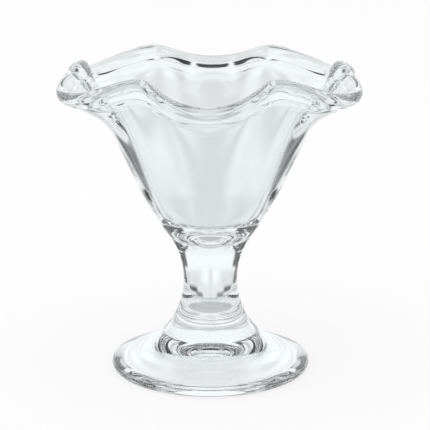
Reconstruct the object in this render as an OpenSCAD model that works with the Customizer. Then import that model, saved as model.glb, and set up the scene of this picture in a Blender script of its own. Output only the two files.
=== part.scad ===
// Footed dessert glass with a six pointed, flared rim.
// Millimetres, +Z up, origin at the centre of the face that the glass stands on.
// The glass is laid out in its three members: the bowl, the stem and the foot.
// They meet on flat discs and share the sizes below, so they always seat.

/* [Overall] */
// Height from the standing face to the highest points of the rim
height = 115; // [108:0.5:122]
// Number of points, and of dips, round the rim
lobes = 6; // [5:1:8]

/* [Rim] */
// Radius to the outside of the lip at a dip
rim_dip_radius = 57.9; // [54:0.1:61]
// Radius to the outside of the lip at a point
rim_point_radius = 48.9; // [45.5:0.1:52]
// Fall of the rim from a point to a dip
rim_fall = 6.5; // [3:0.1:9]
// Thickness of the round lip
lip_thickness = 5.1; // [4:0.1:6.2]
// How narrow each raised point is in side view, 1 is an even wave
crest_power = 1.2; // [1:0.05:1.8]
// How narrow each pinched point is in plan view, 1 is an even wave
pinch_power = 1.6; // [1:0.05:2.2]

/* [Bowl] */
// Height at which the outside leaves the straight cone
belly_height = 53.6; // [52.6:0.1:57]
// Lean of the outside cone over the stem, degrees from upright
cone_lean = 35; // [33:0.5:38]
// Radius of the hollow curve under the bowl
upper_cove_radius = 30; // [26:0.5:31]
// Height of the inside at the axis, the bottom of the well
floor_height = 48.9; // [48.2:0.1:50.4]
// Height of the foot of the inside cone
well_low_height = 62; // [60.5:0.1:64]
// Inside radius at that height
well_low_radius = 18.5; // [17:0.1:19.2]
// Height of the head of the inside cone
well_high_height = 70; // [68.5:0.1:74]
// Inside radius at that height
well_high_radius = 23; // [21.5:0.1:23.6]

/* [Stem] */
// Radius of the waist, the narrowest place
waist_radius = 10; // [8.6:0.1:11]
// Height of the waist
waist_height = 33.3; // [31:0.1:36.5]
// Height of the disc on which the bowl sits
bowl_joint_height = 45; // [42.5:0.5:45.5]
// Height of the disc on which the stem sits
foot_joint_height = 26.6; // [22:0.2:29]

/* [Foot] */
// Outer radius of the foot
foot_radius = 37.1; // [33.5:0.1:40]
// Radius of the rounded edge of the foot
foot_edge_radius = 1.5; // [1.2:0.1:2.4]
// Slope of the top of the foot beside its edge, degrees
foot_slope = 18.5; // [14:0.5:22]
// Width of the flat ring that the glass stands on
ring_width = 6.5; // [4:0.1:8.5]
// Depth of the hollow in the underside
hollow_depth = 9; // [6.5:0.1:10]

/* [Hidden] */
glass_tint = [0.9, 0.96, 0.95, 0.4];
$fn = 96;

// Steps of the faceted bowl: round each lobe, and along each run of the outline.
lobe_steps = 12;
cove_steps = 3;
skin_steps = 15;
lip_steps = 7;
inner_steps = 14;
well_steps = 9;

// Places of the curve's middle control points between belly or well and lip.
belly_share = 0.375;
dip_corner_shares = [0.47, 0.795];
point_corner_shares = [0.78, 0.835];
dip_run_share = 0.42;
point_run_share = 0.61;
well_share = 0.17;
dip_inner_shares = [0.34, 0.67];
point_inner_shares = [0.44, 0.5];
dip_inner_run_share = 0.8;
point_inner_run_share = 0.15;
well_end_share = 0.8;
well_floor_share = 0.18;

lip_radius = lip_thickness / 2;
point_lip = [rim_point_radius - lip_radius, height - lip_radius];
dip_lip = [rim_dip_radius - lip_radius, height - lip_radius - rim_fall];

// Hollow curve under the bowl, and the straight cone above it.
upper_cove_centre = [waist_radius + upper_cove_radius, waist_height];
cove_end = [upper_cove_centre[0] - upper_cove_radius * cos(cone_lean),
    waist_height + upper_cove_radius * sin(cone_lean)];
cone_way = [sin(cone_lean), cos(cone_lean)];
belly = cove_end + cone_way * ((belly_height - cove_end[1]) / cone_way[1]);
function upper_cove_r(z) = upper_cove_centre[0] - sqrt(pow(upper_cove_radius, 2) - pow(z - waist_height, 2));

// Hollow curve over the foot: upright at the waist, then tangent to a straight
// slope that is itself tangent to the rounded edge.
edge_centre = [foot_radius - foot_edge_radius, foot_edge_radius];
slope_normal = [sin(foot_slope), cos(foot_slope)];
lower_cove_radius = ((waist_radius - edge_centre[0]) * slope_normal[0]
    + (waist_height - edge_centre[1]) * slope_normal[1] - foot_edge_radius) / (1 - slope_normal[0]);
lower_cove_centre = [waist_radius + lower_cove_radius, waist_height];
slope_top = lower_cove_centre - lower_cove_radius * slope_normal;
slope_foot = edge_centre + foot_edge_radius * slope_normal;

// Underside: a domed hollow inside the standing ring.
hollow_radius = edge_centre[0] - ring_width;
cap_radius = (pow(hollow_radius, 2) + pow(hollow_depth, 2)) / (2 * hollow_depth);

// Curve of degree four through its end points.
function quart(p, t) = pow(1 - t, 4) * p[0] + 4 * t * pow(1 - t, 3) * p[1]
    + 6 * pow(t * (1 - t), 2) * p[2] + 4 * pow(t, 3) * (1 - t) * p[3] + pow(t, 4) * p[4];
// Curve of degree three through its end points.
function cubic(p, t) = pow(1 - t, 3) * p[0] + 3 * t * pow(1 - t, 2) * p[1]
    + 3 * pow(t, 2) * (1 - t) * p[2] + pow(t, 3) * p[3];
function between(a, b, s) = [a[0] + (b[0] - a[0]) * s[0], a[1] + (b[1] - a[1]) * s[1]];
function unit(v) = v / norm(v);
function across(v) = [v[1], -v[0]];

// One meridian of the bowl, from the joint disc over the lip to the floor.
function meridian(lip, corner_shares, run_share, inner_shares, inner_run_share) =
    let (corner = between(belly, lip, corner_shares))
    let (way = unit(lip - corner))
    let (side = across(way) * lip_radius)
    let (lip_foot = lip + side)
    let (lip_back = lip - side)
    let (handle = belly + cone_way * (lip[1] - belly[1]) * belly_share)
    let (outer = [belly, handle, corner, corner + (lip_foot - corner) * run_share, lip_foot])
    let (well_low = [well_low_radius, well_low_height])
    let (well_high = [well_high_radius, well_high_height])
    let (well_way = unit(well_high - well_low))
    let (inner_corner = between(well_high, lip, inner_shares))
    let (inner_handle = well_high + well_way * (lip[1] - well_high[1]) * well_share)
    let (inner = [lip_back, lip_back + (inner_corner - lip_back) * inner_run_share, inner_corner, inner_handle, well_high])
    let (well_drop = well_low_height - floor_height)
    let (well = [well_low, well_low - well_way * well_drop * well_end_share,
        [well_low_radius * well_floor_share, floor_height], [0, floor_height]])
    concat(
        [for (i = [0 : cove_steps]) let (z = bowl_joint_height + (cove_end[1] - bowl_joint_height) * i / cove_steps)
            [upper_cove_r(z), z]],
        [for (i = [0 : skin_steps]) quart(outer, i / skin_steps)],
        [for (i = [1 : lip_steps]) let (a = 180 * i / lip_steps) lip + side * cos(a) + way * lip_radius * sin(a)],
        [for (i = [1 : inner_steps]) quart(inner, i / inner_steps)],
        [for (i = [0 : well_steps - 1]) cubic(well, i / well_steps)]
    );

dip_line = meridian(dip_lip, dip_corner_shares, dip_run_share, dip_inner_shares, dip_inner_run_share);
point_line = meridian(point_lip, point_corner_shares, point_run_share, point_inner_shares, point_inner_run_share);
rows = len(dip_line);
cols = lobes * lobe_steps;

// Place on the skin: row down the outline, column round the axis, a point at column 0.
function wave(a) = (1 + cos(lobes * a)) / 2;
function skin(i, a) =
    let (d = dip_line[i])
    let (p = point_line[i])
    let (r = d[0] + (p[0] - d[0]) * pow(wave(a), pinch_power))
    [r * cos(a), r * sin(a), d[1] + (p[1] - d[1]) * pow(wave(a), crest_power)];

module bowl() {
    base = rows * cols;
    tip = base + 1;
    verts = concat([for (i = [0 : rows - 1]) for (j = [0 : cols - 1]) skin(i, 360 * j / cols)],
        [[0, 0, bowl_joint_height], [0, 0, floor_height]]);
    sides = [for (i = [0 : rows - 2]) for (j = [0 : cols - 1])
        let (k = (j + 1) % cols)
        let (a = i * cols + j)
        let (b = i * cols + k)
        let (c = (i + 1) * cols + k)
        let (d = (i + 1) * cols + j)
        each [[a, c, b], [a, d, c]]];
    under = [for (j = [0 : cols - 1]) [j, (j + 1) % cols, base]];
    floor_fan = [for (j = [0 : cols - 1]) [(rows - 1) * cols + (j + 1) % cols, (rows - 1) * cols + j, tip]];
    color(glass_tint)
        polyhedron(points = verts, faces = concat(sides, under, floor_fan));
}

module stem() {
    color(glass_tint)
        rotate_extrude() {
            difference() {
                translate([0, foot_joint_height])
                    square([upper_cove_centre[0], waist_height - foot_joint_height]);
                translate(lower_cove_centre)
                    circle(r = lower_cove_radius);
            }
            difference() {
                translate([0, waist_height])
                    square([upper_cove_centre[0] - upper_cove_radius * cos(cone_lean), bowl_joint_height - waist_height]);
                translate(upper_cove_centre)
                    circle(r = upper_cove_radius);
            }
        }
}

module foot() {
    color(glass_tint)
        difference() {
            rotate_extrude() {
                difference() {
                    polygon([[0, 0], [edge_centre[0], 0], edge_centre, slope_foot, slope_top,
                        [slope_top[0], foot_joint_height], [0, foot_joint_height]]);
                    translate(lower_cove_centre)
                        circle(r = lower_cove_radius);
                }
                translate(edge_centre)
                    circle(r = foot_edge_radius);
            }
            translate([0, 0, hollow_depth - cap_radius])
                sphere(r = cap_radius);
        }
}

bowl();
stem();
foot();
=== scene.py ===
"""Footed dessert glass with a wavy six pointed rim: its three pieces of clear glass and the stage."""
import math
from types import SimpleNamespace
import bpy
import numpy as np
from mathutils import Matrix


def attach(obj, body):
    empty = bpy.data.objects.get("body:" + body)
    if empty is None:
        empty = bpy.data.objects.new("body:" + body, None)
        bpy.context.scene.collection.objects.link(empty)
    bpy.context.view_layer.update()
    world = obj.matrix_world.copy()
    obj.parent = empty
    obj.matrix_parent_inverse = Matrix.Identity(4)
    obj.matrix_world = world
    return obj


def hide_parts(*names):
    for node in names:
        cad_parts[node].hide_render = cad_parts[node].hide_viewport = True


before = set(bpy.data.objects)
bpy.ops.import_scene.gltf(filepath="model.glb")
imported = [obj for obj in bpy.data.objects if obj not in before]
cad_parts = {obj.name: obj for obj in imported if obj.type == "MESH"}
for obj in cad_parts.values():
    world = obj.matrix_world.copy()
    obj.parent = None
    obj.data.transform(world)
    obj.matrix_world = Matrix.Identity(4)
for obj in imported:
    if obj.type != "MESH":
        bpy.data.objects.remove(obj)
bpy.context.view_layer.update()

bl_info = {
    "name": "Footed Dessert Glass",
    "version": (1, 0, 0),
    "blender": (4, 5, 0),
    "location": "3D View > Sidebar > Dessert Glass",
    "description": "Builds a pressed dessert glass with a wavy flared rim, and a plain studio for it",
    "category": "Object",
}

MM = 0.001
TINY = 1e-12

# The rim's points, with as many dips between them, and the places round the axis.
POINTS = 6
TURN_STEPS = 288

# Steps along each run of the outline, from under the foot to the bottom of the well.
HOLLOW_STEPS = 60
RING_STEPS = 16
EDGE_STEPS = 24
FOOT_TOP_STEPS = 56
LOWER_STEM_STEPS = 20
UPPER_STEM_STEPS = 28
BOWL_COVE_STEPS = 10
WALL_STEPS = 64
GROOVE_STEPS = 8
LIP_STEPS = 30
CONE_STEPS = 8
WELL_STEPS = 28

# Places of the wall curves' middle control points, as shares of the way to the lip.
RIM_SHAPES = {
    "dip": {"corner": (0.47, 0.795), "run": 0.42, "inner": (0.34, 0.67), "inner_run": 0.8},
    "point": {"corner": (0.78, 0.835), "run": 0.61, "inner": (0.44, 0.5), "inner_run": 0.15},
}
BELLY_SHARE = 0.375
WELL_SHARE = 0.17
WELL_END_SHARE = 0.8
WELL_FLOOR_SHARE = 0.18
# How far the groove under the lip runs out down the wall, beside its own depth.
GROOVE_TAIL = 1.6

# Pressed ripples: the second set beside the first, in fineness and in strength.
RIPPLE_ROUGHNESS = 0.4
FINE_RIPPLE_SCALE = 3.1
FINE_RIPPLE_SHARE = 0.12
# Haze from wiping and scuffs from standing: pattern scales, the noise levels where they set in
# and are full, and the least and most roughness of a scuff.
HAZE_SCALE = 70.0
HAZE_LIMITS = (0.52, 0.75)
SCUFF_SCALE = 900.0
SCUFF_LIMITS = (0.4, 0.65)
SCUFF_ROUGHNESS = (0.01, 0.05)
SCUFF_HEIGHT = 0.15 * MM
WELD = "weld_face"

# The stage: the floor's disc and mottle, and the one soft lamp, in metres, watts and degrees.
FLOOR_REACH = 4.0
FLOOR_SIDES = 96
FLOOR_DROP = 0.2 * MM
FLOOR_SCALE = 8.0
FLOOR_MOTTLE = 0.99
LAMP_SIZE = 1.2
LAMP_POWER = 4.0
LAMP_PLACE = (-0.35, -0.35, 1.5)
LAMP_ANGLES = (18, 0, -45)
SENSOR_WIDTH = 36.0
CAMERA_CLIP = (0.01, 20.0)
GLASS_BOUNCES = 64
BLACK = (0.0, 0.0, 0.0, 1.0)

# Parts of the studio that the glass shows: the middle's turn from straight behind the glass towards
# the right, half its width, the middle's rise, half its height, softness, all in degrees, and the
# brightness beside a white backdrop of 1. Later parts lie over earlier ones.
STUDIO = [
    ("backdrop below the horizon", 0, 185, -50, 45, 5, 0.82),
    ("table far away", 0, 185, -60, 34, 6, 0.88),
    ("pool of light on the backdrop", -1.3, 13, -12, 9, 8, 1.06),
    # The table close by is darker as painted shadow: it stands for the glass's own shadow on the table, which
    # the glass shows in place of the floor.
    ("table close by in painted shadow", 0, 185, -82, 27, 4, 0.56),
    ("dark strip in the middle", -1.4, 3.4, -27, 23, 3, 0.84),
    ("dark mat left of the middle", -19, 6.5, -37, 6, 3, 0.3),
    ("dark mat right of the middle", 19, 6.5, -37, 6, 3, 0.28),
    ("dark mat on the left", -35, 10, -29, 4, 3.5, 0.12),
    ("dark mat on the right", 33, 11, -29, 4, 3.5, 0.1),
    ("ceiling", 0, 185, 80, 20, 5, 0.05),
    ("left flag", -67.5, 14.5, -8, 18, 3, 0.08),
    ("right flag", 67.5, 14.5, -8, 18, 3, 0.06),
    ("far left flag", -112, 14, -8, 18, 3, 0.08),
    ("far right flag", 112, 14, -8, 18, 3, 0.06),
    ("high left flag", -80, 40, 23, 24, 4, 0.06),
    ("high right flag", 80, 40, 23, 24, 4, 0.04),
    ("room behind the camera", 180, 34, -12, 18, 5, 0.6),
    ("ceiling behind the camera", 180, 70, 50, 18, 5, 0.08),
]


def length(name, description, millimetres):
    """A size in metres, with its default given in millimetres."""
    return bpy.props.FloatProperty(name=name, description=description, default=millimetres * MM,
                                   min=0.0, subtype="DISTANCE", unit="LENGTH", precision=5)


def share(name, description, value):
    """A bare number, such as a share, a power or a brightness."""
    return bpy.props.FloatProperty(name=name, description=description, default=value, min=0.0, max=4.0)


def angle(name, description, degrees):
    """An angle, with its default given in degrees."""
    return bpy.props.FloatProperty(name=name, description=description, default=math.radians(degrees),
                                   subtype="ANGLE", unit="ROTATION")


def colour(name, description, value):
    """A colour of three numbers from 0 to 1."""
    return bpy.props.FloatVectorProperty(name=name, description=description, default=value, size=3,
                                         subtype="COLOR", min=0.0, max=1.0)


class DessertGlassRim(bpy.types.PropertyGroup):
    """Sizes of the lobed rim and its lip."""
    height: length("Height", "Standing face to the highest points of the rim", 115)
    dip_radius: length("Dip radius", "Outside of the lip at a dip", 57.9)
    point_radius: length("Point radius", "Outside of the lip at a point", 48.9)
    fall: length("Fall", "How far a dip lies below a point", 6.5)
    lip: length("Lip thickness", "Thickness of the round lip", 5.1)
    bead_in: length("Inner bead", "How far the lip stands proud of the wall inside", 1.5)
    bead_out: length("Outer bead", "How far the lip stands proud of the wall outside", 0.6)
    drop_in: length("Inner drop", "How much further down the lip's round is drawn inside", 1.5)
    drop_out: length("Outer drop", "How much further down the lip's round is drawn outside", 1.5)
    bead_turn: angle("Bead turn", "How far the lip's round runs on below its middle", 25)
    crest: share("Crest power", "How narrow a point is in side view", 1.2)
    pinch: share("Pinch power", "How narrow a point is in plan view", 1.6)


class DessertGlassBowl(bpy.types.PropertyGroup):
    """Sizes of the bowl's outside and inside."""
    belly: length("Belly height", "Where the outside leaves the straight cone", 53.6)
    lean: angle("Cone lean", "Lean of the cone from upright", 35)
    cove: length("Upper cove", "Radius of the hollow curve under the bowl", 30)
    floor: length("Well floor", "Height of the bottom of the well", 48.9)
    low_z: length("Well low height", "Foot of the inside cone", 62)
    low_r: length("Well low radius", "Inside radius at that height", 18.5)
    high_z: length("Well high height", "Head of the inside cone", 70)
    high_r: length("Well high radius", "Inside radius at that height", 23)


class DessertGlassStem(bpy.types.PropertyGroup):
    """Sizes of the stem."""
    waist_r: length("Waist radius", "Radius of the narrowest place", 10)
    waist_z: length("Waist height", "Height of the narrowest place", 33.3)
    top: length("Bowl joint", "Height of the disc that the bowl sits on", 45)
    bottom: length("Foot joint", "Height of the disc that the stem sits on", 26.6)


class DessertGlassFoot(bpy.types.PropertyGroup):
    """Sizes of the foot."""
    radius: length("Foot radius", "Outer radius of the foot", 37.1)
    edge: length("Edge radius", "Radius of the rounded edge", 1.5)
    slope: angle("Slope", "Slope of the top beside the edge", 18.5)
    ring: length("Ring width", "Width of the flat ring that the glass stands on", 6.5)
    hollow: length("Hollow depth", "Depth of the hollow underneath", 9)
    ease: length("Ring ease", "How far in from the ring the hollow starts to be rounded into it", 3)


class DessertGlassLook(bpy.types.PropertyGroup):
    """Colour and finish of the glass."""
    tint: colour("Tint", "Colour of the clear glass", (0.962, 0.974, 0.974))
    ior: share("Refractive index", "Refractive index of soda lime glass", 1.52)
    ripple: length("Ripple depth", "Depth of the faint ripples left by pressing", 0.012)
    ripple_size: length("Ripple size", "Spacing of the ripples", 14)
    haze: share("Haze", "Most roughness that handling has left", 0.012)


class DessertGlassStage(bpy.types.PropertyGroup):
    """The studio round the glass and the camera."""
    backdrop: colour("Backdrop", "Colour of the backdrop and floor", (1.0, 1.0, 1.0))
    cool_light: colour("Cool light", "Colour of the backdrop as the glass shows it", (0.972, 0.998, 1.0))
    backdrop_level: share("Backdrop level", "Brightness of the backdrop as the glass shows it", 1.02)
    floor_tone: share("Floor tone", "Paleness of the floor", 0.975)
    floor_glow: share("Floor glow", "How much of the floor's paleness the camera sees whatever the light", 0.8)
    camera_rise: angle("Camera rise", "How steeply the camera looks down", 14.7)
    camera_turn: angle("Camera turn", "How far the camera stands round to the right", 0.89)
    camera_way: length("Camera distance", "Camera to the point it looks at", 554.87)
    target_z: length("Target height", "Height of the point that the camera looks at", 57.59)
    target_x: length("Target side", "How far that point lies to the right of the axis", 1.703)
    lens: bpy.props.FloatProperty(name="Lens", description="Focal length in millimetres", default=125.67,
                                  min=1.0, unit="CAMERA")


def vec(*xy):
    """A place or a way in the half plane of the outline: out from the axis, and up."""
    return np.array(xy, float)


def unit(v):
    """The same way with a length of one."""
    return v / np.linalg.norm(v)


def across(v):
    """The way turned by a right angle, to its right."""
    return vec(v[1], -v[0])


def between(a, b, shares):
    """A place between two others, by a share of each of the two distances."""
    return a + (b - a) * vec(*shares)


def curve(points, steps):
    """Bezier curve of any degree, with both its ends."""
    t = np.linspace(0.0, 1.0, steps + 1)[:, None]
    n = len(points) - 1
    return sum(math.comb(n, k) * (1 - t) ** (n - k) * t ** k * p for k, p in enumerate(points))


def arc(centre, radius, start, end, steps):
    """Arc of a circle, angles measured from the outward radius towards up."""
    t = np.linspace(start, end, steps + 1)
    return np.stack([centre[0] + radius * np.cos(t), centre[1] + radius * np.sin(t)], 1)


def coves(sizes):
    """The two hollow curves of the outside, and what the runs beside them share with them."""
    stem, foot, bowl = sizes.stem, sizes.foot, sizes.bowl
    edge = vec(foot.radius - foot.edge, foot.edge)
    slope_normal = vec(math.sin(foot.slope), math.cos(foot.slope))
    waist = vec(stem.waist_r, stem.waist_z)
    low_r = (np.dot(waist - edge, slope_normal) - foot.edge) / (1 - slope_normal[0])
    high_centre = waist + vec(bowl.cove, 0)
    cone_way = vec(math.sin(bowl.lean), math.cos(bowl.lean))
    cone = high_centre - bowl.cove * across(cone_way)
    return SimpleNamespace(
        edge=edge, low_r=low_r, low_centre=waist + vec(low_r, 0), high_centre=high_centre, cone_way=cone_way,
        belly=cone + cone_way * ((bowl.belly - cone[1]) / cone_way[1]),
        foot_joint=math.pi + math.asin((waist[1] - stem.bottom) / low_r),
        bowl_joint=math.pi - math.asin((stem.top - waist[1]) / bowl.cove))


def foot_line(sizes):
    """Half outline of the foot, from the axis underneath to the stem's lower disc."""
    foot, shared = sizes.foot, coves(sizes)
    hollow_r = shared.edge[0] - foot.ring
    cap = (hollow_r ** 2 + foot.hollow ** 2) / (2 * foot.hollow)
    eased = math.acos((hollow_r - foot.ease) / cap)
    dome = arc(vec(0, foot.hollow - cap), cap, math.pi / 2, eased, HOLLOW_STEPS)
    # The hollow leaves its dome in a straight line and is rounded evenly into the flat ring.
    way = across(vec(math.cos(eased), math.sin(eased)))
    corner = dome[-1] - way * (dome[-1][1] / way[1])
    ring = curve([dome[-1], corner, corner + vec(np.linalg.norm(corner - dome[-1]), 0)], RING_STEPS)
    brim = arc(shared.edge, foot.edge, -math.pi / 2, math.pi / 2 - foot.slope, EDGE_STEPS)
    top = arc(shared.low_centre, shared.low_r, 3 * math.pi / 2 - foot.slope, shared.foot_joint, FOOT_TOP_STEPS)
    return np.vstack([dome, ring[1:], brim, top])


def stem_line(sizes):
    """Half outline of the stem, between its two discs."""
    shared = coves(sizes)
    lower = arc(shared.low_centre, shared.low_r, shared.foot_joint, math.pi, LOWER_STEM_STEPS)
    upper = arc(shared.high_centre, sizes.bowl.cove, math.pi, shared.bowl_joint, UPPER_STEM_STEPS)
    return np.vstack([lower, upper[1:]])


def bead_run(middle, way, side, radius, turn, proud, drop):
    """Points of the small groove where the lip's round meets the wall."""
    reach = radius - proud
    fall = (radius * math.cos(turn) - reach) / math.sin(turn)
    low = radius * math.sin(turn) + drop
    start = middle + side * radius * math.cos(turn) - way * low
    corner = middle + side * reach - way * (low + fall * math.cos(turn))
    return start, corner, corner - way * fall * GROOVE_TAIL


def bowl_line(sizes, kind):
    """Half outline of the bowl at a dip or a point, from the stem's upper disc to the well's floor."""
    rim, bowl, shared = sizes.rim, sizes.bowl, coves(sizes)
    shape = RIM_SHAPES[kind]
    r = rim.lip / 2
    middle = {"dip": vec(rim.dip_radius - r, rim.height - r - rim.fall),
              "point": vec(rim.point_radius - r, rim.height - r)}[kind]
    corner = between(shared.belly, middle, shape["corner"])
    way = unit(middle - corner)
    side = across(way)
    out = bead_run(middle, way, side, r, rim.bead_turn, rim.bead_out, rim.drop_out)
    into = bead_run(middle, way, -side, r, rim.bead_turn, rim.bead_in, rim.drop_in)

    # The outside wall, from the hollow curve up to the groove under the lip.
    cove = arc(shared.high_centre, bowl.cove, shared.bowl_joint, math.pi - bowl.lean, BOWL_COVE_STEPS)
    handle = shared.belly + shared.cone_way * (middle[1] - shared.belly[1]) * BELLY_SHARE
    last = out[2] - way * np.linalg.norm(middle - corner) * (1 - shape["run"])
    skin = curve([shared.belly, handle, corner, last, out[2]], WALL_STEPS)

    # The lip's round, drawn down the wall by its drop on each side.
    t = np.linspace(-rim.bead_turn, math.pi + rim.bead_turn, LIP_STEPS + 1)[1:-1, None]
    drop = np.where(t < math.pi / 2, rim.drop_out, rim.drop_in) / math.sin(rim.bead_turn)
    bead = middle + side * r * np.cos(t) + way * (r * np.sin(t) + drop * np.minimum(np.sin(t), 0))

    # The inside wall, its straight cone and the bottom of the well.
    low, high = vec(bowl.low_r, bowl.low_z), vec(bowl.high_r, bowl.high_z)
    well_way = unit(high - low)
    inner_corner = between(high, middle, shape["inner"])
    inner_handle = high + well_way * (middle[1] - high[1]) * WELL_SHARE
    first = into[2] + (inner_corner - into[2]) * shape["inner_run"]
    inner = curve([into[2], first, inner_corner, inner_handle, high], WALL_STEPS)
    straight = curve([high, low], CONE_STEPS)
    well_low = low - well_way * (bowl.low_z - bowl.floor) * WELL_END_SHARE
    well = curve([low, well_low, vec(bowl.low_r * WELL_FLOOR_SHARE, bowl.floor), vec(0, bowl.floor)], WELL_STEPS)
    return np.vstack([cove, skin, curve(out[::-1], GROOVE_STEPS)[1:], bead, curve(into, GROOVE_STEPS),
                      inner[1:], straight[1:], well[1:]])


def outlines(sizes):
    """The whole glass as two meridians of equal length, and each piece's first and last row."""
    foot = foot_line(sizes)
    base = np.vstack([foot, stem_line(sizes)[1:]])
    dip, point = (np.vstack([base, bowl_line(sizes, kind)[1:]]) for kind in ("dip", "point"))
    foot_joint, bowl_joint = len(foot) - 1, len(base) - 1
    # The first and the last row lie on the axis, where a pole takes their place.
    rows = {"foot": (1, foot_joint), "stem": (foot_joint, bowl_joint), "bowl": (bowl_joint, len(dip) - 2)}
    return dip, point, rows


def skin_grid(sizes):
    """Points and true normals of the whole outside and inside skin, and each piece's rows of it."""
    dip, point, rows = outlines(sizes)
    turn = np.linspace(0.0, 2 * math.pi, TURN_STEPS, endpoint=False)
    wave = (1 + np.cos(POINTS * turn)) / 2
    radius = dip[:, :1] + (point[:, :1] - dip[:, :1]) * wave ** sizes.rim.pinch
    height = dip[:, 1:] + (point[:, 1:] - dip[:, 1:]) * wave ** sizes.rim.crest
    grid = np.stack([radius * np.cos(turn), radius * np.sin(turn), height], -1)
    run = np.r_[0, np.cumsum(np.linalg.norm(np.diff((dip + point) / 2, axis=0), axis=1))]
    along = np.gradient(grid, run, axis=0)
    around = (np.roll(grid, -1, axis=1) - np.roll(grid, 1, axis=1)) / (2 * turn[1])
    normal = np.cross(around, along)
    normal = normal / np.maximum(np.linalg.norm(normal, axis=2, keepdims=True), TINY)
    return grid, normal, rows


def axis_pole(points, faces, normals, bent, ring, z, up, weld):
    """Closes a ring of vertices with a fan to the axis: a pole of the glass, or a weld disc."""
    pole = len(points)
    points.append((0.0, 0.0, z))
    straight = (0.0, 0.0, 1.0 if up else -1.0)
    for a, b in zip(ring, ring[1:] + ring[:1]):
        face = (a, b, pole) if up else (b, a, pole)
        faces.append(face)
        normals.extend([straight] * 3 if weld else [bent[face[0]], bent[face[1]], straight])


def make_piece(context, node, sizes, low_pole, high_pole, scuffed_below=0.0):
    """One closed piece of the skin in place of a solid; a pole is its height, and whether it is a weld."""
    grid, normal, rows = skin_grid(sizes)
    first, last = rows[node]
    count = TURN_STEPS
    points = [tuple(p) for p in grid[first:last + 1].reshape(-1, 3)]
    bent = [tuple(n) for n in normal[first:last + 1].reshape(-1, 3)]
    faces, normals = [], []
    for i in range(last - first):
        for j in range(count):
            k = (j + 1) % count
            face = (i * count + j, i * count + k, (i + 1) * count + k, (i + 1) * count + j)
            faces.append(face)
            normals.extend(bent[v] for v in face)
    side_faces = len(faces)
    bottom = list(range(count))
    top = list(range(len(points) - count, len(points)))
    axis_pole(points, faces, normals, bent, bottom, low_pole[0], False, low_pole[1])
    low_faces = len(faces)
    axis_pole(points, faces, normals, bent, top, high_pole[0], True, high_pole[1])
    slots = np.zeros(len(faces), int)
    slots[side_faces:low_faces] = low_pole[1]
    slots[low_faces:] = high_pole[1]
    name = node + "_glass"
    mesh = bpy.data.meshes.new(name)
    mesh.from_pydata(points, [], faces)
    mesh.polygons.foreach_set("material_index", slots)
    mesh.polygons.foreach_set("use_smooth", np.ones(len(faces), bool))
    mesh.normals_split_custom_set(normals)
    mesh.update()
    piece = bpy.data.objects.new(name, mesh)
    context.scene.collection.objects.link(piece)
    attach(piece, "root")
    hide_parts(node)
    mesh.materials.append(glass_material(name, sizes.look, scuffed_below))
    mesh.materials.append(weld_material())


class NodeDesk:
    """Short hand for placing nodes in a tree."""

    def __init__(self, tree):
        self.tree = tree

    def fill(self, node, inputs):
        """Links or sets the inputs of a node, given by name or by number."""
        for key, value in inputs.items():
            if isinstance(value, bpy.types.NodeSocket):
                self.tree.links.new(value, node.inputs[key])
            else:
                node.inputs[key].default_value = value
        return node

    def add(self, kind, inputs=(), **settings):
        """A new node with its settings and inputs."""
        node = self.tree.nodes.new(kind)
        for key, value in settings.items():
            setattr(node, key, value)
        return self.fill(node, dict(inputs))

    def math(self, operation, *values):
        """One step of arithmetic."""
        return self.add("ShaderNodeMath", dict(enumerate(values)), operation=operation).outputs[0]

    def ease(self, value, low, high, to_low=0.0, to_high=1.0):
        """Smooth step of a value between two limits."""
        values = {"Value": value, "From Min": low, "From Max": high, "To Min": to_low, "To Max": to_high}
        return self.add("ShaderNodeMapRange", values, interpolation_type="SMOOTHSTEP").outputs[0]

    def blend(self, factor, first, second):
        """A number between two numbers."""
        return self.add("ShaderNodeMix", {0: factor, 2: first, 3: second}).outputs[0]

    def blend_colours(self, factor, first, second):
        """A colour between two colours."""
        return self.add("ShaderNodeMix", {0: factor, 6: first, 7: second}, data_type="RGBA").outputs[2]


def new_group(name, inputs, outputs):
    """An empty shader node group with named sockets."""
    group = bpy.data.node_groups.new(name, "ShaderNodeTree")
    for label, kind, value in inputs:
        socket = group.interface.new_socket(label, in_out="INPUT", socket_type=kind)
        if value is not None:
            socket.default_value = value
    for label, kind in outputs:
        group.interface.new_socket(label, in_out="OUTPUT", socket_type=kind)
    desk = NodeDesk(group)
    return group, desk, desk.add("NodeGroupInput").outputs, desk.add("NodeGroupOutput")


def new_material(name):
    """A new material, a desk for its nodes and its own shader."""
    material = bpy.data.materials.new(name)
    material.use_nodes = True
    return material, NodeDesk(material.node_tree), material.node_tree.nodes["Principled BSDF"]


def pressed_ripple_group():
    """Faint unevenness that the plunger and the mould leave in pressed glass."""
    name = "pressed_ripple"
    if name in bpy.data.node_groups:
        return bpy.data.node_groups[name]
    group, desk, given, result = new_group(
        name, [("Place", "NodeSocketVector", None), ("Spacing", "NodeSocketFloat", 0.014),
               ("Stretch", "NodeSocketFloat", 0.6)],
        [("Height", "NodeSocketFloat")])
    scale = desk.math("DIVIDE", 1.0, given["Spacing"])
    x, y, z = desk.add("ShaderNodeSeparateXYZ", {0: given["Place"]}).outputs
    lifted = desk.add("ShaderNodeCombineXYZ", {0: x, 1: y, 2: desk.math("MULTIPLY", z, given["Stretch"])})
    broad = desk.add("ShaderNodeTexNoise", {"Vector": lifted.outputs[0], "Scale": scale, "Detail": 1.0,
                                            "Roughness": RIPPLE_ROUGHNESS})
    fine_scale = desk.math("MULTIPLY", scale, FINE_RIPPLE_SCALE)
    fine = desk.add("ShaderNodeTexNoise", {"Vector": lifted.outputs[0], "Scale": fine_scale, "Detail": 0.0})
    fine_height = desk.math("MULTIPLY", fine.outputs["Fac"], FINE_RIPPLE_SHARE)
    desk.fill(result, {"Height": desk.math("ADD", broad.outputs["Fac"], fine_height)})
    return group


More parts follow.
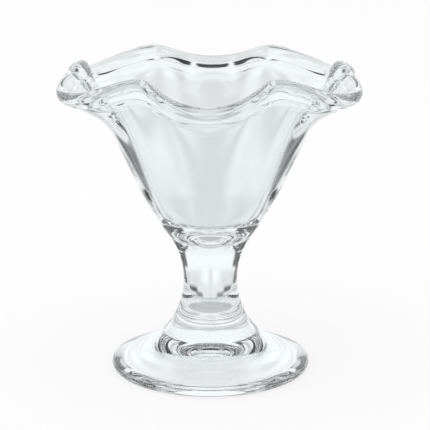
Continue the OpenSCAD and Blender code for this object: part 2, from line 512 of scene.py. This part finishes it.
def handling_haze_group():
    """Patches of very slight haze where the glass has been wiped and handled, and scuffs where it stands."""
    name = "handling_haze"
    if name in bpy.data.node_groups:
        return bpy.data.node_groups[name]
    group, desk, given, result = new_group(
        name, [("Place", "NodeSocketVector", None), ("Least", "NodeSocketFloat", 0.0),
               ("Most", "NodeSocketFloat", 0.012), ("Scuffed Below", "NodeSocketFloat", 0.0)],
        [("Roughness", "NodeSocketFloat")])
    cloud = desk.add("ShaderNodeTexNoise", {"Vector": given["Place"], "Scale": HAZE_SCALE, "Detail": 3.0})
    patch = desk.ease(cloud.outputs["Fac"], *HAZE_LIMITS)
    span = desk.math("SUBTRACT", given["Most"], given["Least"])
    haze = desk.math("ADD", given["Least"], desk.math("MULTIPLY", patch, span))
    height = desk.add("ShaderNodeSeparateXYZ", {0: given["Place"]}).outputs[2]
    grit = desk.add("ShaderNodeTexNoise", {"Vector": given["Place"], "Scale": SCUFF_SCALE, "Detail": 2.0})
    scuff = desk.math("MULTIPLY", desk.math("LESS_THAN", height, given["Scuffed Below"]),
                      desk.ease(grit.outputs["Fac"], *SCUFF_LIMITS, *SCUFF_ROUGHNESS))
    desk.fill(result, {"Roughness": desk.math("MAXIMUM", haze, scuff)})
    return group


def glass_material(name, look, scuffed_below=0.0):
    """Clear pressed glass, with ripples and a trace of haze."""
    material, desk, shader = new_material(name)
    place = desk.add("ShaderNodeTexCoord").outputs["Object"]
    ripple = desk.add("ShaderNodeGroup", {"Place": place, "Spacing": look.ripple_size},
                      node_tree=pressed_ripple_group())
    haze = desk.add("ShaderNodeGroup", {"Place": place, "Most": look.haze, "Scuffed Below": scuffed_below},
                    node_tree=handling_haze_group())
    bump = desk.add("ShaderNodeBump", {"Strength": 1.0, "Distance": look.ripple,
                                       "Height": ripple.outputs["Height"]})
    desk.fill(shader, {"Base Color": (*look.tint, 1.0), "Metallic": 0.0, "IOR": look.ior,
                       "Transmission Weight": 1.0, "Roughness": haze.outputs["Roughness"],
                       "Normal": bump.outputs["Normal"]})
    return material


def weld_material():
    """The discs where the pieces join are inside solid glass and can't be seen."""
    if WELD in bpy.data.materials:
        return bpy.data.materials[WELD]
    material, desk, shader = new_material(WELD)
    desk.fill(shader, {"Alpha": 0.0})
    return material


class DESSERTGLASS_OT_bowl(bpy.types.Operator):
    """Build the flared bowl with its wavy rim"""
    bl_idname = "dessertglass.bowl"
    bl_label = "Bowl"

    def execute(self, context):
        sizes = context.scene.dessert_glass
        make_piece(context, "bowl", sizes, (sizes.stem.top, True), (sizes.bowl.floor, False))
        return {"FINISHED"}


class DESSERTGLASS_OT_stem(bpy.types.Operator):
    """Build the short waisted stem"""
    bl_idname = "dessertglass.stem"
    bl_label = "Stem"

    def execute(self, context):
        sizes = context.scene.dessert_glass
        make_piece(context, "stem", sizes, (sizes.stem.bottom, True), (sizes.stem.top, True))
        return {"FINISHED"}


class DESSERTGLASS_OT_foot(bpy.types.Operator):
    """Build the round foot with its hollow underside"""
    bl_idname = "dessertglass.foot"
    bl_label = "Foot"

    def execute(self, context):
        sizes = context.scene.dessert_glass
        make_piece(context, "foot", sizes, (sizes.foot.hollow, False), (sizes.stem.bottom, True), SCUFF_HEIGHT)
        return {"FINISHED"}


def soft_card_group():
    """Mask of one part of the studio, from the direction in which it lies."""
    group, desk, given, result = new_group(
        "soft_card", [(label, "NodeSocketFloat", 0.0) for label in
                      ("Turn", "Rise", "Middle Turn", "Half Width", "Middle Rise", "Half Height", "Softness")],
        [("Mask", "NodeSocketFloat")])
    aside = desk.math("WRAP", desk.math("SUBTRACT", given["Turn"], given["Middle Turn"]), 180.0, -180.0)
    above = desk.math("SUBTRACT", given["Rise"], given["Middle Rise"])
    mask = 1.0
    for offset, half in ((aside, given["Half Width"]), (above, given["Half Height"])):
        near = desk.math("SUBTRACT", half, given["Softness"])
        far = desk.math("ADD", half, given["Softness"])
        mask = desk.math("MULTIPLY", mask, desk.ease(desk.math("ABSOLUTE", offset), near, far, 1.0, 0.0))
    desk.fill(result, {"Mask": mask})
    return group


def build_world(stage):
    """White backdrop all round; the glass shows it too, with the darker and brighter parts of a studio."""
    world = bpy.data.worlds.new("studio")
    world.use_nodes = True
    desk = NodeDesk(world.node_tree)
    way = desk.add("ShaderNodeTexCoord").outputs["Generated"]
    x, y, z = desk.add("ShaderNodeSeparateXYZ", {0: way}).outputs
    degrees = 180 / math.pi
    turn = desk.math("MULTIPLY", desk.math("ARCTAN2", x, y), degrees)
    rise = desk.math("MULTIPLY", desk.math("ARCSINE", z), degrees)
    group = soft_card_group()
    level = stage.backdrop_level
    for label, *card_sizes, tone in STUDIO:
        card = desk.add("ShaderNodeGroup", node_tree=group, label=label)
        desk.fill(card, dict(enumerate((turn, rise, *card_sizes))))
        level = desk.blend(card.outputs["Mask"], level, tone)
    path = desk.add("ShaderNodeLightPath").outputs
    seen_by_glass = desk.math("MAXIMUM", path["Is Glossy Ray"], path["Is Transmission Ray"])
    tint = desk.blend_colours(seen_by_glass, (*stage.backdrop, 1.0), (*stage.cool_light, 1.0))
    desk.fill(world.node_tree.nodes["Background"],
              {"Color": tint, "Strength": desk.blend(seen_by_glass, 1.0, level)})
    return world


def floor_material(stage):
    """Pale matt floor with the faintest mottle; the camera sees most of its paleness whatever the light."""
    material, desk, shader = new_material("pale_floor")
    place = desk.add("ShaderNodeTexCoord").outputs["Object"]
    cloud = desk.add("ShaderNodeTexNoise", {"Vector": place, "Scale": FLOOR_SCALE, "Detail": 2.0}).outputs["Fac"]
    pale = tuple(stage.floor_tone * c for c in stage.backdrop)
    tone = desk.blend_colours(cloud, (*pale, 1.0), (*(c * FLOOR_MOTTLE for c in pale), 1.0))
    glow = desk.math("MULTIPLY", desk.add("ShaderNodeLightPath").outputs["Is Camera Ray"], stage.floor_glow)
    desk.fill(shader, {"Roughness": 1.0, "Specular IOR Level": 0.0,
                       "Base Color": desk.blend_colours(glow, tone, BLACK),
                       "Emission Color": tone, "Emission Strength": glow})
    return material


def hide_from_glass(thing):
    """Keeps a thing out of what the glass reflects and shows, which the world alone gives."""
    thing.visible_glossy = False
    thing.visible_transmission = False


def place_floor(scene, stage):
    """The wide round floor, just under the standing face."""
    turns = [2 * math.pi * i / FLOOR_SIDES for i in range(FLOOR_SIDES)]
    brim = [(FLOOR_REACH * math.cos(turn), FLOOR_REACH * math.sin(turn), -FLOOR_DROP) for turn in turns]
    mesh = bpy.data.meshes.new("floor")
    mesh.from_pydata(brim, [], [tuple(range(FLOOR_SIDES))])
    mesh.materials.append(floor_material(stage))
    floor = bpy.data.objects.new("floor", mesh)
    scene.collection.objects.link(floor)
    hide_from_glass(floor)


def place_lamp(scene):
    """The soft lamp, over the glass towards the camera's left."""
    lamp = bpy.data.lights.new("soft_key", "AREA")
    lamp.shape, lamp.size, lamp.energy = "DISK", LAMP_SIZE, LAMP_POWER
    key = bpy.data.objects.new("soft_key", lamp)
    key.location = LAMP_PLACE
    key.rotation_euler = [math.radians(part) for part in LAMP_ANGLES]
    hide_from_glass(key)
    scene.collection.objects.link(key)


def place_camera(scene, stage):
    """The camera, where the fit to the photograph's outlines put it."""
    data = bpy.data.cameras.new("camera")
    data.sensor_width = SENSOR_WIDTH
    data.lens = stage.lens
    data.clip_start, data.clip_end = CAMERA_CLIP
    camera = bpy.data.objects.new("camera", data)
    rise, turn = stage.camera_rise, stage.camera_turn
    x = stage.target_x
    y = -stage.camera_way * math.cos(rise)
    z = stage.target_z + stage.camera_way * math.sin(rise)
    camera.location = (x * math.cos(turn) - y * math.sin(turn), x * math.sin(turn) + y * math.cos(turn), z)
    camera.rotation_euler = (math.pi / 2 - rise, 0.0, turn)
    scene.collection.objects.link(camera)
    scene.camera = camera


class DESSERTGLASS_OT_stage(bpy.types.Operator):
    """Set up the pale floor, the soft studio light and the camera"""
    bl_idname = "dessertglass.stage"
    bl_label = "Stage"

    def execute(self, context):
        scene = context.scene
        stage = scene.dessert_glass.stage
        scene.world = build_world(stage)
        place_floor(scene, stage)
        place_lamp(scene)
        place_camera(scene, stage)
        scene.view_settings.view_transform = "Standard"
        cycles = scene.cycles
        cycles.max_bounces = cycles.transmission_bounces = GLASS_BOUNCES
        cycles.glossy_bounces = cycles.transparent_max_bounces = GLASS_BOUNCES
        return {"FINISHED"}


class DessertGlassSet(bpy.types.PropertyGroup):
    """Everything that a user may change."""
    rim: bpy.props.PointerProperty(type=DessertGlassRim)
    bowl: bpy.props.PointerProperty(type=DessertGlassBowl)
    stem: bpy.props.PointerProperty(type=DessertGlassStem)
    foot: bpy.props.PointerProperty(type=DessertGlassFoot)
    look: bpy.props.PointerProperty(type=DessertGlassLook)
    stage: bpy.props.PointerProperty(type=DessertGlassStage)


class DESSERTGLASS_PT_panel(bpy.types.Panel):
    """Sizes, colours and the building steps of the glass"""
    bl_label = "Dessert Glass"
    bl_idname = "DESSERTGLASS_PT_panel"
    bl_space_type = "VIEW_3D"
    bl_region_type = "UI"
    bl_category = "Dessert Glass"

    def draw(self, context):
        settings = context.scene.dessert_glass
        for label in ("rim", "bowl", "stem", "foot", "look", "stage"):
            box = self.layout.box()
            box.label(text=label.capitalize())
            group = getattr(settings, label)
            for key in group.__annotations__:
                box.prop(group, key)
        for step in BUILD_STEPS:
            self.layout.operator("dessertglass." + step)


BUILD_STEPS = ("foot", "stem", "bowl", "stage")
CLASSES = (DessertGlassRim, DessertGlassBowl, DessertGlassStem, DessertGlassFoot, DessertGlassLook,
           DessertGlassStage, DessertGlassSet, DESSERTGLASS_OT_bowl, DESSERTGLASS_OT_stem,
           DESSERTGLASS_OT_foot, DESSERTGLASS_OT_stage, DESSERTGLASS_PT_panel)


def register():
    for cls in CLASSES:
        bpy.utils.register_class(cls)
    bpy.types.Scene.dessert_glass = bpy.props.PointerProperty(type=DessertGlassSet)


def unregister():
    del bpy.types.Scene.dessert_glass
    for cls in reversed(CLASSES):
        bpy.utils.unregister_class(cls)


def main():
    register()
    for step in BUILD_STEPS:
        getattr(bpy.ops.dessertglass, step)()


if __name__ == "__main__":
    main()
